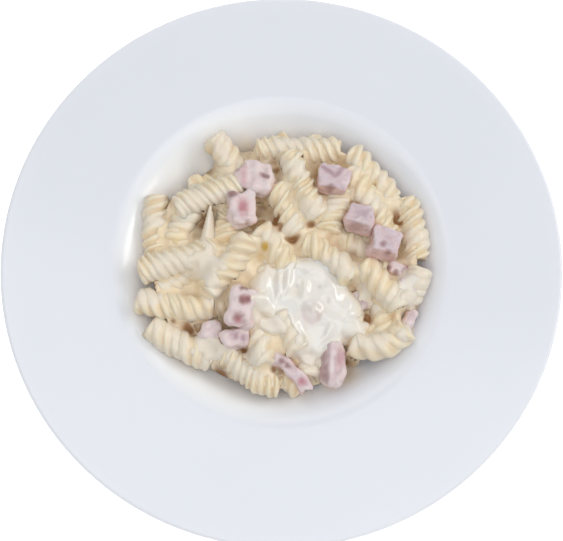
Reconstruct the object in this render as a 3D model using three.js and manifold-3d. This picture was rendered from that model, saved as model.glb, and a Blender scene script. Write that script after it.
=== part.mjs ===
// A plate of pasta: a wide-rimmed porcelain bowl with a heap of cooked spiral pasta, diced ham and a pool of cream.
// Millimetres, +Z up. The origin is on the table under the plate's centre; +Y is away from the diner.
import * as THREE from "three";
import { mergeVertices } from "three/addons/utils/BufferGeometryUtils.js";
import Module from "manifold-3d";

const wasm = await Module();
wasm.setup();

// Plate
const PLATE_RADIUS = 135;
const RIM_HEIGHT = 48; // top of the outer lip above the table
const SHOULDER_RADIUS = 76; // where the rim turns down into the well
const SHOULDER_HEIGHT = 44;
const SHOULDER_BLEND = 8; // the turn is rounded where wall and rim are within this height of each other
const WELL_FLOOR_RADIUS = 26;
const WELL_FLOOR_HEIGHT = 8;
const WELL_CURVE = 1.6; // power of the well's wall curve: higher is steeper at the shoulder
const WALL_THICKNESS = 4.6;
const LIP_THICKNESS = 3.4;
const FOOT_RADIUS = 42;
const FOOT_WIDTH = 4;
const FOOT_RECESS = 2.4; // height of the middle of the underside above the table
const PLATE_SIDES = 48;

// Spiral pasta
const TWIST_RADIUS = 6.9; // crest of the blades
const TWIST_ROOT = 3.9; // bottom of the grooves
const TWIST_PITCH = 16; // length of one full turn
const TWIST_BLADES = 3;
const TWIST_STEP_DEGREES = 60; // turn from one section to the next
const ROLL_STEP = 47; // each spiral starts this many degrees further round than the one before

// Heap
const CORE_RADIUS = 72;
const CORE_TOP = 40;
const CORE_FALL = 12; // how much lower the core's top is at its edge
const CORE_SIDES = 20;
const CORE_RINGS = 3;

const GAP = 0.35; // clearance between neighbouring solids
const WELD = 0.01; // edges shorter than this are closed up when solids are joined or cut
const ABOVE_ALL = 90; // higher than any of the food

const radians = THREE.MathUtils.degToRad;

// ---------- solids ----------

// A closed manifold solid from a three.js geometry.
function solidOf(geometry) {
  const bare = geometry.index ? geometry.toNonIndexed() : geometry.clone();
  bare.deleteAttribute("normal");
  bare.deleteAttribute("uv");
  const merged = mergeVertices(bare, 1e-3);
  return new wasm.Manifold(
    new wasm.Mesh({
      numProp: 3,
      tolerance: WELD,
      vertProperties: merged.attributes.position.array,
      triVerts: new Uint32Array(merged.index.array),
    }),
  );
}

// A three.js geometry from a manifold solid.
function geometryOf(solid) {
  const mesh = solid.getMesh();
  const geometry = new THREE.BufferGeometry();
  geometry.setAttribute("position", new THREE.BufferAttribute(mesh.vertProperties, mesh.numProp));
  geometry.setIndex(new THREE.BufferAttribute(mesh.triVerts, 1));
  geometry.computeVertexNormals();
  return geometry;
}

// The biggest single body of a solid: booleans can leave loose scraps.
function largestBody(solid) {
  return solid.decompose().sort((a, b) => b.volume() - a.volume())[0];
}

// A closed surface through rings of points, capped at both ends by a fan to a middle point.
function skinOfRings(rings, firstMiddle, lastMiddle) {
  const sides = rings[0].length;
  const points = [...rings.flat(), firstMiddle, lastMiddle];
  const first = points.length - 2;
  const last = points.length - 1;
  const faces = [];
  for (let j = 0; j < sides; j++) {
    const k = (j + 1) % sides;
    faces.push(first, k, j);
    const end = (rings.length - 1) * sides;
    faces.push(last, end + j, end + k);
    for (let i = 0; i + 1 < rings.length; i++) {
      const a = i * sides;
      const b = a + sides;
      faces.push(a + j, a + k, b + j, a + k, b + k, b + j);
    }
  }
  const geometry = new THREE.BufferGeometry().setFromPoints(points);
  geometry.setIndex(faces);
  return geometry;
}

// A solid of revolution about Z from a profile of [radius, height] points.
function turned(profile) {
  const points = profile.map(([r, z]) => new THREE.Vector2(r, z));
  return new THREE.LatheGeometry(points, PLATE_SIDES).rotateX(Math.PI / 2);
}

// ---------- plate ----------

// Height of the plate's upper surface at a radius: the lower of the well's power-curve wall and the rising rim,
// with the corner between them rounded.
function plateHeight(radius) {
  const wallShare = Math.max((radius - WELL_FLOOR_RADIUS) / (SHOULDER_RADIUS - WELL_FLOOR_RADIUS), 0);
  const wall = WELL_FLOOR_HEIGHT + (SHOULDER_HEIGHT - WELL_FLOOR_HEIGHT) * wallShare ** WELL_CURVE;
  const rimShare = (radius - SHOULDER_RADIUS) / (PLATE_RADIUS - SHOULDER_RADIUS);
  const rim = THREE.MathUtils.lerp(SHOULDER_HEIGHT, RIM_HEIGHT, rimShare);
  const near = Math.max(1 - Math.abs(wall - rim) / SHOULDER_BLEND, 0);
  return Math.min(wall, rim) - (near ** 2 * SHOULDER_BLEND) / 4;
}

// Radii at which the profile has a point: closest together where it turns.
const UPPER_RADII = [26, 36, 45, 53, 60, 66, 70.5, 74, 77.5, 81, 85];
const UNDER_RADII = [87, 81, 75, 67, 56];

function upperProfile() {
  return [[0, WELL_FLOOR_HEIGHT], ...UPPER_RADII.map((radius) => [radius, plateHeight(radius)])];
}

// The profile moved square to itself by a distance: up and inward when positive, down and outward when negative.
function offsetProfile(radii, distance) {
  return radii.map((radius) => {
    const rise = (plateHeight(radius + 1) - plateHeight(radius - 1)) / 2;
    const length = Math.hypot(1, rise);
    return [radius - (distance * rise) / length, plateHeight(radius) + distance / length];
  });
}

function plateGeometry() {
  const lip = [
    [PLATE_RADIUS - LIP_THICKNESS / 2, RIM_HEIGHT],
    [PLATE_RADIUS, RIM_HEIGHT - LIP_THICKNESS * 0.3],
    [PLATE_RADIUS, RIM_HEIGHT - LIP_THICKNESS * 0.7],
    [PLATE_RADIUS - LIP_THICKNESS / 2, RIM_HEIGHT - LIP_THICKNESS],
  ];
  const footOuter = FOOT_RADIUS + FOOT_WIDTH / 2;
  const footInner = FOOT_RADIUS - FOOT_WIDTH / 2;
  const foot = [
    [footOuter, plateHeight(footOuter) - WALL_THICKNESS],
    [footOuter, 0],
    [footInner, 0],
    [footInner - FOOT_RECESS / 2, FOOT_RECESS],
    [0, FOOT_RECESS],
  ];
  return turned([...upperProfile(), ...lip, ...offsetProfile(UNDER_RADII, -WALL_THICKNESS), ...foot].reverse());
}

// The space that the food may fill: over the plate's upper surface, a gap clear of it.
function cavityGeometry() {
  return turned([
    [0, WELL_FLOOR_HEIGHT + GAP],
    ...offsetProfile(UPPER_RADII, GAP),
    [PLATE_RADIUS, RIM_HEIGHT + GAP * 2],
    [PLATE_RADIUS, ABOVE_ALL],
    [0, ABOVE_ALL],
  ]);
}

// ---------- pasta ----------

// A point on a spiral's axis, with share from -0.5 at its start to 0.5 at its end: a gentle bend in plan, a steady rise.
// at is the middle of the axis; heading and bend are in plan, tilt is the rise of the far end, all in degrees.
function axisPoint({ at, heading, tilt = 0, length, bend = 0 }, share) {
  const direction = radians(heading + (bend * share) / 2);
  const slope = radians(tilt);
  return new THREE.Vector3(
    Math.cos(direction) * Math.cos(slope),
    Math.sin(direction) * Math.cos(slope),
    Math.sin(slope),
  )
    .multiplyScalar(share * length)
    .add(new THREE.Vector3(...at));
}

// One spiral: a star of blades and grooves carried along its axis while it turns.
function twistGeometry(twist, roll) {
  const steps = Math.round((twist.length * 360) / (TWIST_PITCH * TWIST_STEP_DEGREES));
  const corners = TWIST_BLADES * 2;
  const rings = [];
  for (let i = 0; i <= steps; i++) {
    const share = i / steps - 0.5;
    const centre = axisPoint(twist, share);
    const forward = axisPoint(twist, share + 0.01).sub(axisPoint(twist, share - 0.01)).normalize();
    const side = new THREE.Vector3(0, 0, 1).cross(forward).normalize();
    const up = forward.clone().cross(side);
    const turn = radians(roll + (360 * share * twist.length) / TWIST_PITCH);
    const ring = [];
    for (let j = 0; j < corners; j++) {
      const radius = j % 2 ? TWIST_ROOT : TWIST_RADIUS;
      const angle = turn + (j / corners) * 2 * Math.PI;
      ring.push(
        centre
          .clone()
          .addScaledVector(side, Math.cos(angle) * radius)
          .addScaledVector(up, Math.sin(angle) * radius),
      );
    }
    rings.push(ring);
  }
  return skinOfRings(rings, axisPoint(twist, -0.5), axisPoint(twist, 0.5));
}

// The spirals that show, from the far left round the well and then over the top of the heap.
const TWISTS = [
  { at: [-26, 49.5, 41], heading: -54, tilt: -20, length: 30 },
  { at: [-62, 13, 39.5], heading: -90, tilt: -5, length: 36 },
  { at: [-45, 22, 33], heading: -128, tilt: -3, length: 36 },
  { at: [-36, 30, 45.5], heading: 24, tilt: 2, length: 35, bend: -10 },
  { at: [-50, -3, 46], heading: 22, tilt: -3, length: 39, bend: 8 },
  { at: [-25, -6, 48], heading: -130, tilt: -4, length: 33, bend: -10 },
  { at: [-3, 2.5, 46], heading: -51, tilt: -15, length: 26 },
  { at: [-46, -9, 36.5], heading: 28, tilt: -2, length: 31 },
  { at: [-51, -25, 45], heading: -5, tilt: -3, length: 37, bend: 8 },
  { at: [-48, -43, 41.5], heading: -28, tilt: -5, length: 35, bend: 8 },
  { at: [-16.5, -56, 41.5], heading: -33, tilt: -3, length: 35, bend: 30 },
  { at: [-10.5, -40.5, 44.5], heading: -78, tilt: 16, length: 27 },
  { at: [4, -38, 45], heading: -61, tilt: 6, length: 21 },
  { at: [8.5, 55, 42], heading: -1, length: 42, bend: -6 },
  { at: [10, 34, 49.5], heading: -67, tilt: -2, length: 36, bend: 10 },
  { at: [2, 22, 46.5], heading: -69, tilt: -2, length: 26 },
  { at: [27, 25, 42], heading: -110, tilt: 14, length: 31 },
  { at: [23, -2, 46.5], heading: -43, tilt: 2, length: 30, bend: -14 },
  { at: [45, 41, 43], heading: -49, length: 33, bend: -12 },
  { at: [43, 26, 46], heading: -61, tilt: 3, length: 39, bend: -8 },
  { at: [64.5, 13.5, 43.5], heading: -79, tilt: -3, length: 32, bend: -14 },
  { at: [47, -17, 47.5], heading: -51, tilt: -2, length: 28, bend: -14 },
  { at: [63, -16, 43], heading: -116, tilt: -13, length: 22 },
  { at: [50.5, -28, 34.5], heading: -99, tilt: 2, length: 32 },
  { at: [47, -44, 45], heading: 12, tilt: 4, length: 30, bend: 70 },
  { at: [14, -46, 38], heading: -97, tilt: 10, length: 26 },
  { at: [-8, -12, 41.5], heading: -94, tilt: 11, length: 28 },
  { at: [-27, 9, 40], heading: -99, tilt: -14, length: 18 },
  { at: [37, 5, 37], heading: -34, tilt: 3, length: 37 },
  { at: [0, -54, 32.5], heading: -45, tilt: 2, length: 29 },
  { at: [24.5, -31, 42], heading: -17, tilt: 3, length: 28 },
];

// The pasta underneath: a low dome, cut to the well afterwards.
function coreGeometry() {
  const ringAt = (radius, height) =>
    Array.from({ length: CORE_SIDES }, (_, j) => {
      const angle = (j / CORE_SIDES) * 2 * Math.PI;
      return new THREE.Vector3(Math.cos(angle) * radius, Math.sin(angle) * radius, height);
    });
  const bottom = WELL_FLOOR_HEIGHT / 2;
  const rings = [ringAt(CORE_RADIUS, bottom)];
  for (let i = CORE_RINGS; i >= 1; i--) {
    const share = i / CORE_RINGS;
    rings.push(ringAt(CORE_RADIUS * share, CORE_TOP - CORE_FALL * share ** 2));
  }
  return skinOfRings(rings, new THREE.Vector3(0, 0, bottom), new THREE.Vector3(0, 0, CORE_TOP));
}

// ---------- ham ----------

const HAM_BEVEL = 1.1;
const HAM_UNEVEN = 0.07; // how far a corner may be out of square, as a share of the side

// Diced ham: middle, [width, depth, height], yaw, and pitch and bank in degrees.
const HAM = [
  { at: [25, 36, 51], size: [15, 13, 10], yaw: -13, pitch: -9, bank: 4 },
  { at: [38, 16.5, 50], size: [13.5, 12, 10.5], yaw: -16, pitch: -26, bank: -6 },
  { at: [49, 4, 51], size: [14, 13, 11], yaw: -13, pitch: -16, bank: 8 },
  { at: [58, -7.5, 43], size: [14, 7, 6], yaw: -20, pitch: -10, bank: 4 },
  { at: [60, -16, 48], size: [8, 8, 5], yaw: 12, pitch: 10 },
  { at: [-19.5, 22, 49], size: [12, 17, 9], yaw: 8, pitch: -6, bank: 10 },
  { at: [-13, 39, 48], size: [16, 14, 9], yaw: -28, pitch: 6, bank: -6 },
  { at: [-18, -26, 51], size: [12, 17, 10], yaw: -14, pitch: -6, bank: -6 },
  { at: [-22, -41.5, 47], size: [12, 9, 9], yaw: 14, pitch: -12, bank: 8 },
  { at: [-34, -37.5, 44], size: [9, 11, 8], yaw: -18, pitch: 4, bank: 12 },
  { at: [6, -56, 44], size: [22, 6, 6], yaw: -38, pitch: -6 },
  { at: [24.5, -52, 45], size: [9.5, 22, 9.5], yaw: -6, pitch: 8, bank: 40 },
  { at: [60.5, -32, 44], size: [6, 11, 6], yaw: -16, bank: 10 },
  { at: [38, -22, 41], size: [7, 9, 7], yaw: 20 },
];

// An irregular block with chamfered edges; grow makes the same block bigger all round.
function hamGeometry({ at, size, yaw, pitch = 0, bank = 0 }, index, grow = 0) {
  const [width, depth, height] = size.map((side) => side + grow * 2 - HAM_BEVEL * 2);
  const uneven = (k) => 1 + HAM_UNEVEN * Math.sin(2.4 * index + 1.9 * k);
  const corners = [
    [-1, -1],
    [1, -1],
    [1, 1],
    [-1, 1],
  ].map(([x, y], k) => new THREE.Vector2((x * width * uneven(k)) / 2, (y * depth * uneven(k + 4)) / 2));
  const geometry = new THREE.ExtrudeGeometry(new THREE.Shape(corners), {
    depth: height,
    bevelThickness: HAM_BEVEL,
    bevelSize: HAM_BEVEL,
    bevelSegments: 1,
  });
  return geometry
    .translate(0, 0, -height / 2)
    .rotateY(radians(bank))
    .rotateX(radians(pitch))
    .rotateZ(radians(yaw))
    .translate(...at);
}

// ---------- cream ----------

const CREAM_CENTRE = [14, -23];
const CREAM_RADIUS = 20.5;
const CREAM_OVAL = 3.6; // the pool is this much longer than round, and as much narrower
const CREAM_HEADING = 137;
const CREAM_TOP = 50.5;
const CREAM_EDGE = 46.5; // height of its rounded border
const CREAM_BOTTOM = 44;
const CREAM_SIDES = 24;
const RUN_LENGTH = 4.5; // a run of cream that creeps down between two spirals
const RUN_HEADING = -84;
const RUN_WIDTH_DEGREES = 14;

// Distance from the pool's middle to its border.
function creamReach(angle) {
  const oval = CREAM_OVAL * Math.cos(2 * (angle - radians(CREAM_HEADING)));
  const fromRun = Math.sin((angle - radians(RUN_HEADING)) / 2) / Math.sin(radians(RUN_WIDTH_DEGREES) / 2);
  return CREAM_RADIUS + oval + RUN_LENGTH * Math.exp(-(fromRun ** 2));
}

// A low mound over its border; grow makes it bigger all round.
function creamGeometry(grow = 0) {
  const [x, y] = CREAM_CENTRE;
  const top = CREAM_TOP + grow;
  const bottom = CREAM_BOTTOM - grow;
  const ringAt = (share, height) =>
    Array.from({ length: CREAM_SIDES }, (_, j) => {
      const angle = (j / CREAM_SIDES) * 2 * Math.PI;
      const reach = (creamReach(angle) + grow) * share;
      return new THREE.Vector3(x + Math.cos(angle) * reach, y + Math.sin(angle) * reach, height);
    });
  const rings = [
    ringAt(0.93, bottom),
    ringAt(1, (CREAM_EDGE + CREAM_BOTTOM) / 2),
    ringAt(0.95, CREAM_EDGE + grow),
    ringAt(0.78, top - 1.6),
    ringAt(0.45, top - 0.3),
  ];
  return skinOfRings(rings, new THREE.Vector3(x, y, bottom), new THREE.Vector3(x, y, top));
}

// ---------- assembly ----------

const PORCELAIN = new THREE.MeshStandardMaterial({ color: 0xe4e7ec, roughness: 0.18, metalness: 0 });
const PASTA = new THREE.MeshStandardMaterial({ color: 0xe8d6b4, roughness: 0.4, metalness: 0 });
const MEAT = new THREE.MeshStandardMaterial({ color: 0xd3acb0, roughness: 0.45, metalness: 0 });
const CREAM = new THREE.MeshStandardMaterial({ color: 0xece6da, roughness: 0.25, metalness: 0 });

const group = new THREE.Group();

function addNode(name, geometry, material) {
  const mesh = new THREE.Mesh(geometry, material);
  mesh.name = name;
  group.add(mesh);
}

const grownHam = HAM.map((block, i) => solidOf(hamGeometry(block, i, GAP)));

let pasta = solidOf(coreGeometry());
TWISTS.forEach((twist, i) => {
  pasta = pasta.add(solidOf(twistGeometry(twist, i * ROLL_STEP)));
});
pasta = pasta.intersect(solidOf(cavityGeometry()));
for (const block of grownHam) pasta = pasta.subtract(block);
pasta = pasta.subtract(solidOf(creamGeometry(GAP)));

let cream = solidOf(creamGeometry());
for (const block of grownHam) cream = cream.subtract(block);

addNode("plate", plateGeometry(), PORCELAIN);
addNode("pasta", geometryOf(largestBody(pasta)), PASTA);
addNode("cream", geometryOf(largestBody(cream)), CREAM);
HAM.forEach((block, i) => {
  addNode(`ham_${String(i + 1).padStart(2, "0")}`, hamGeometry(block, i), MEAT);
});

export default group;
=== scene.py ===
"""Looks of a plate of creamy spiral pasta: wide-rimmed porcelain, cooked spirals, diced ham and poured cream.

Lengths are in millimetres until a piece is made in Blender's metres. +Z is up and +Y is away from the diner.
"""

import math

import bpy
import numpy as np
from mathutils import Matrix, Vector


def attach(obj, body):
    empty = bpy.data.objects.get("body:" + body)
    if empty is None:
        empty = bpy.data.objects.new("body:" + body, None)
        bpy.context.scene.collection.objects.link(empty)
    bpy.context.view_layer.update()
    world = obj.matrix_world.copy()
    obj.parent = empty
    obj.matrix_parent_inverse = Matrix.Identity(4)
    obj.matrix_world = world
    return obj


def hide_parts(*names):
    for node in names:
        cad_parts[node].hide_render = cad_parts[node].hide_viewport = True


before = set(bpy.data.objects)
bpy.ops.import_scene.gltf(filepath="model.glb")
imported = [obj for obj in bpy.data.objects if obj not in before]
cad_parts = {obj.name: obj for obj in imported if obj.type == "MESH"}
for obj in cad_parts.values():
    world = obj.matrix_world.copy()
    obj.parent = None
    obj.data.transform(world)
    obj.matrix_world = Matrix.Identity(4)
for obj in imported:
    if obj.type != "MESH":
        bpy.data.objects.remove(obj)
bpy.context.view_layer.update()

MM = 0.001
SEED = 41


# ---------- camera ----------

CAMERA_AT = (0, -91.58, 437.38)
CAMERA_TARGET = (0, -8.31, 48)
CAMERA_LENS = 53.31
CAMERA_SENSOR = 36


def make_camera():
    data = bpy.data.cameras.new("camera")
    data.lens = CAMERA_LENS
    data.sensor_width = CAMERA_SENSOR
    data.clip_start = 10 * MM
    camera = bpy.data.objects.new("camera", data)
    bpy.context.scene.collection.objects.link(camera)
    camera.location = Vector(CAMERA_AT) * MM
    toward = (Vector(CAMERA_TARGET) - Vector(CAMERA_AT)) * MM
    camera.rotation_euler = toward.to_track_quat("-Z", "Y").to_euler()
    bpy.context.scene.camera = camera


make_camera()


# ---------- shader maths ----------


class Field:
    """A value that changes over a surface. Operators on it add Math nodes."""

    def __init__(self, finish, socket):
        self.finish = finish
        self.socket = socket

    def _with(self, operation, first, second):
        return self.finish.node("ShaderNodeMath", {"operation": operation}, {0: first, 1: second})

    def __add__(self, other):
        return self._with("ADD", self, other)

    __radd__ = __add__

    def __sub__(self, other):
        return self._with("SUBTRACT", self, other)

    def __rsub__(self, other):
        return self._with("SUBTRACT", other, self)

    def __mul__(self, other):
        return self._with("MULTIPLY", self, other)

    __rmul__ = __mul__

    def __pow__(self, power):
        return self._with("POWER", self, power)


class Finish:
    """One material and its nodes."""

    def __init__(self, name):
        self.material = bpy.data.materials.new(name)
        self.material.use_nodes = True
        self.tree = self.material.node_tree
        self.tree.nodes.clear()
        self.place = self.node("ShaderNodeTexCoord", output="Object")

    def node(self, kind, settings=None, inputs=None, output=0):
        """Adds a node, sets its settings, then its sockets by name or number, and gives one of its outputs."""
        made = self.tree.nodes.new(kind)
        for key, value in (settings or {}).items():
            setattr(made, key, value)
        for key, value in (inputs or {}).items():
            if isinstance(value, Field):
                self.tree.links.new(value.socket, made.inputs[key])
            else:
                made.inputs[key].default_value = value
        return Field(self, made.outputs[output]) if made.outputs else None

    def noise(self, size, detail=2.0, roughness=0.5, distortion=0.0):
        """Noise from 0 to 1 whose blotches are about size millimetres across."""
        inputs = {"Detail": detail, "Roughness": roughness, "Distortion": distortion}
        return self.node("ShaderNodeTexNoise", None, {"Vector": self.place, "Scale": 1 / (size * MM), **inputs})

    def painted(self, name):
        """A value kept on the mesh's points."""
        return self.node("ShaderNodeAttribute", {"attribute_name": name}, output="Fac")

    def between(self, value, low, high):
        """0 below low, 1 above high, smooth between."""
        return self.node(
            "ShaderNodeMapRange",
            {"interpolation_type": "SMOOTHSTEP"},
            {"Value": value, "From Min": low, "From Max": high, "To Min": 0.0, "To Max": 1.0},
        )

    def mixed(self, share, first, second):
        """A colour between first and second."""
        made = self.tree.nodes.new("ShaderNodeMix")
        made.data_type = "RGBA"
        for socket, value in ((made.inputs[0], share), (made.inputs[6], first), (made.inputs[7], second)):
            if isinstance(value, Field):
                self.tree.links.new(value.socket, socket)
            else:
                socket.default_value = value if isinstance(value, float) else (*value, 1)
        return Field(self, made.outputs[2])

    def bump(self, height, distance, strength=1.0):
        """The normal of a relief distance millimetres high."""
        inputs = {"Height": height, "Distance": distance * MM, "Strength": strength}
        return self.node("ShaderNodeBump", None, inputs)

    def surface(self, colour, roughness, normal=None, **constants):
        """The material's one shader, linked to its output."""
        inputs = {"Base Color": colour, "Roughness": roughness}
        if normal is not None:
            inputs["Normal"] = normal
        inputs.update({key.replace("_", " "): value for key, value in constants.items()})
        shader = self.node("ShaderNodeBsdfPrincipled", {"subsurface_method": "RANDOM_WALK"}, inputs)
        self.node("ShaderNodeOutputMaterial", None, {"Surface": shader})
        return self.material


def tint(*screen):
    """A colour given as on a screen, from 0 to 255, as Blender's linear values: the standard sRGB curve."""
    return tuple(c / 12.92 if c <= 0.04045 else ((c + 0.055) / 1.055) ** 2.4 for c in (v / 255 for v in screen))


def toned(colour, *shares):
    """A colour with its red, green and blue each scaled."""
    return tuple(value * share for value, share in zip(colour, shares))


# ---------- meshes ----------


def grid_quads(rows, columns, closed=True):
    """Corners of the quads of a grid of points, row by row. closed joins the last column to the first."""
    i = np.arange(rows - 1)[:, None] * columns
    j = np.arange(columns if closed else columns - 1)[None, :]
    k = (j + 1) % columns
    return np.stack([i + j, i + k, i + columns + k, i + columns + j], axis=-1).reshape(-1, 4)


def tube_quads(rows, columns, turned_over=False):
    """Quads of a grid joined all round, with a fan at each end to one of the two points after the grid's."""
    quads = grid_quads(rows, columns)
    j = np.arange(columns)
    k = (j + 1) % columns
    if turned_over:
        quads, j, k = quads[:, ::-1], k, j
    end = (rows - 1) * columns
    first, last = (np.full(columns, rows * columns + i) for i in range(2))
    fans = [np.stack([first, k, j, j], -1), np.stack([last, end + j, end + k, end + k], -1)]
    return np.concatenate([quads, *fans])


def revolved(radii, heights, sides):
    """A ring of points round the Z axis for each radius and height."""
    angle = np.linspace(0, 2 * math.pi, sides, endpoint=False)
    radii, heights = radii[:, None], heights[:, None]
    return np.stack(np.broadcast_arrays(radii * np.cos(angle), radii * np.sin(angle), heights), -1)


def joined(surfaces):
    """Several surfaces, each (points, quads, values), as one. Equal last corners make a quad a triangle."""
    points, quads, values, count = [], [], {}, 0
    for some_points, some_quads, some_values in surfaces:
        points.append(some_points)
        quads.append(some_quads + count)
        for name, array in some_values.items():
            values.setdefault(name, []).append(array)
        count += len(some_points)
    values = {name: np.concatenate(arrays) for name, arrays in values.items()}
    return np.concatenate(points), np.concatenate(quads), values


def make_piece(name, surface, material, slot, *nodes):
    """A mesh piece from one surface in millimetres, standing for CAD nodes."""
    points, quads, values = surface
    triangle = quads[:, 3] == quads[:, 2]
    corners = np.where(triangle, 3, 4)
    keep = np.ones(quads.shape, bool)
    keep[triangle, 3] = False
    mesh = bpy.data.meshes.new(name)
    mesh.vertices.add(len(points))
    mesh.vertices.foreach_set("co", (points * MM).astype(np.float32).ravel())
    mesh.loops.add(int(corners.sum()))
    mesh.loops.foreach_set("vertex_index", quads[keep].astype(np.int32))
    mesh.polygons.add(len(quads))
    mesh.polygons.foreach_set("loop_start", np.concatenate([[0], np.cumsum(corners)[:-1]]).astype(np.int32))
    mesh.polygons.foreach_set("use_smooth", np.ones(len(quads), bool))
    for key, array in values.items():
        mesh.attributes.new(key, "FLOAT", "POINT").data.foreach_set("value", array.astype(np.float32))
    mesh.update(calc_edges=True)
    mesh.validate()
    mesh.materials.append(material)
    piece = bpy.data.objects.new(name, mesh)
    bpy.context.scene.collection.objects.link(piece)
    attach(piece, "root")
    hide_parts(*nodes)


def wavy(points, size, seed, waves=7):
    """Smooth random values about -1 to 1: sine waves about size millimetres long in random directions."""
    random = np.random.default_rng(seed)
    directions = random.normal(size=(waves, 3))
    directions /= np.linalg.norm(directions, axis=1)[:, None]
    lengths = size * random.uniform(0.7, 1.6, waves)
    phases = random.uniform(0, 2 * math.pi, waves)
    return np.sin(points @ (directions / lengths[:, None]).T * 2 * math.pi + phases).sum(-1) / math.sqrt(waves)


def smooth_step(value, low, high):
    """0 at low, 1 at high, level at both. high may lie below low."""
    share = np.clip((value - low) / (high - low), 0, 1)
    return share * share * (3 - 2 * share)


def spotted(x, y, spots, inner, outer):
    """Strength of round spots, each (x, y, radius, strength): whole up to inner radii, gone at outer radii."""
    found = np.zeros_like(x)
    for spot_x, spot_y, radius, strength in spots:
        away = np.hypot(x - spot_x, y - spot_y) / radius
        found = np.maximum(found, strength * (1 - smooth_step(away, inner, outer)))
    return found


def points_along(path, count):
    """x and y of points along a line of straight stretches."""
    steps = np.linspace(0, len(path) - 1, count)
    return [np.interp(steps, np.arange(len(path)), values) for values in zip(*path)]


# ---------- plate ----------

PLATE_RADIUS = 135
RIM_HEIGHT = 48
SHOULDER_RADIUS = 76
SHOULDER_HEIGHT = 44
SHOULDER_BLEND = 8
WELL_FLOOR_RADIUS = 26
WELL_FLOOR_HEIGHT = 8
WELL_CURVE = 1.6
WALL_THICKNESS = 4.6
LIP_THICKNESS = 3.4
FOOT_RADIUS = 42
FOOT_WIDTH = 4
FOOT_RECESS = 2.4
PLATE_SIDES = 240
PROFILE_START = 1  # radius of the profile's two ends, next to the axis

# Where thin sauce has run onto the glaze beside the food, painted with warm shade as well: place, radius and
# strength.
SAUCE_STAINS_AND_SHADE = [(31, -56, 11, 1), (24, -59, 9, 1), (-18, 59, 10, 1)]


def plate_height(radius):
    """Height of the plate's top: the lower of a power-curve wall and a rising rim, their corner rounded."""
    share = np.maximum((radius - WELL_FLOOR_RADIUS) / (SHOULDER_RADIUS - WELL_FLOOR_RADIUS), 0)
    wall = WELL_FLOOR_HEIGHT + (SHOULDER_HEIGHT - WELL_FLOOR_HEIGHT) * share**WELL_CURVE
    rim_share = (radius - SHOULDER_RADIUS) / (PLATE_RADIUS - SHOULDER_RADIUS)
    rim = SHOULDER_HEIGHT + (RIM_HEIGHT - SHOULDER_HEIGHT) * rim_share
    near = np.maximum(1 - np.abs(wall - rim) / SHOULDER_BLEND, 0)
    return np.minimum(wall, rim) - near**2 * SHOULDER_BLEND / 4


def below_plate(radius):
    """The plate's underside: the upper surface moved square to itself by the wall's thickness."""
    rise = (plate_height(radius + 1) - plate_height(radius - 1)) / 2
    length = np.hypot(1, rise)
    out, down = WALL_THICKNESS * rise / length, WALL_THICKNESS / length
    return np.stack([radius + out, plate_height(radius) - down], -1)


def plate_surface():
    """A profile of radius and height turned round the Z axis: upper side, half-round lip, underside, foot."""
    upper_radii = np.concatenate(
        [np.linspace(PROFILE_START, 66, 40), np.linspace(67, 86, 39), np.linspace(88, PLATE_RADIUS - 2.6, 20)]
    )
    upper = np.stack([upper_radii, plate_height(upper_radii)], -1)
    lip_turn = np.radians(np.linspace(85, -85, 12))
    lip_middle = np.array([PLATE_RADIUS, RIM_HEIGHT]) - LIP_THICKNESS / 2
    lip = lip_middle + LIP_THICKNESS / 2 * np.stack([np.cos(lip_turn), np.sin(lip_turn)], -1)
    under_radii = [np.linspace(128, 90, 10), np.linspace(88, 66, 23), np.linspace(64, 47, 10)]
    under = below_plate(np.concatenate(under_radii))
    outer, inner = FOOT_RADIUS + FOOT_WIDTH / 2, FOOT_RADIUS - FOOT_WIDTH / 2
    root = plate_height(outer) - WALL_THICKNESS
    foot = [
        (outer + 0.5, root - 0.4), (outer, root - 1.2), (outer - 0.1, 1.2), (outer - 0.5, 0.3),
        (outer - 1.1, 0), (inner + 1.1, 0), (inner + 0.5, 0.3), (inner, 1.2),
        (inner - 0.5, 2.1), (inner - 1.6, FOOT_RECESS), (inner - 6, FOOT_RECESS), (PROFILE_START, FOOT_RECESS),
    ]
    profile = np.concatenate([upper, lip, under, foot])[::-1]
    rings = revolved(profile[:, 0], profile[:, 1], PLATE_SIDES).reshape(-1, 3)
    points = np.concatenate([rings, [[0, 0, FOOT_RECESS], [0, 0, WELL_FLOOR_HEIGHT]]])
    x, y, z = points.T
    # Painted light: the glaze is made lighter in the well than on the rim, most on the well's left side, to stand
    # for light on the walls.
    inside = smooth_step(np.hypot(x, y), SHOULDER_RADIUS + 9, SHOULDER_RADIUS - 3)
    inside *= 0.2 + 0.8 * smooth_step(x, 14, -30)
    # Warm colour beside the food: partly sauce run onto the glaze, partly painted shade warmed by the food.
    sauce_stain_and_shade = spotted(x, y, SAUCE_STAINS_AND_SHADE, 0, 1) * (z < RIM_HEIGHT - 6)
    return points, tube_quads(len(profile), PLATE_SIDES), {"inside": inside, "sauce_stain_and_shade": sauce_stain_and_shade}


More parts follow.
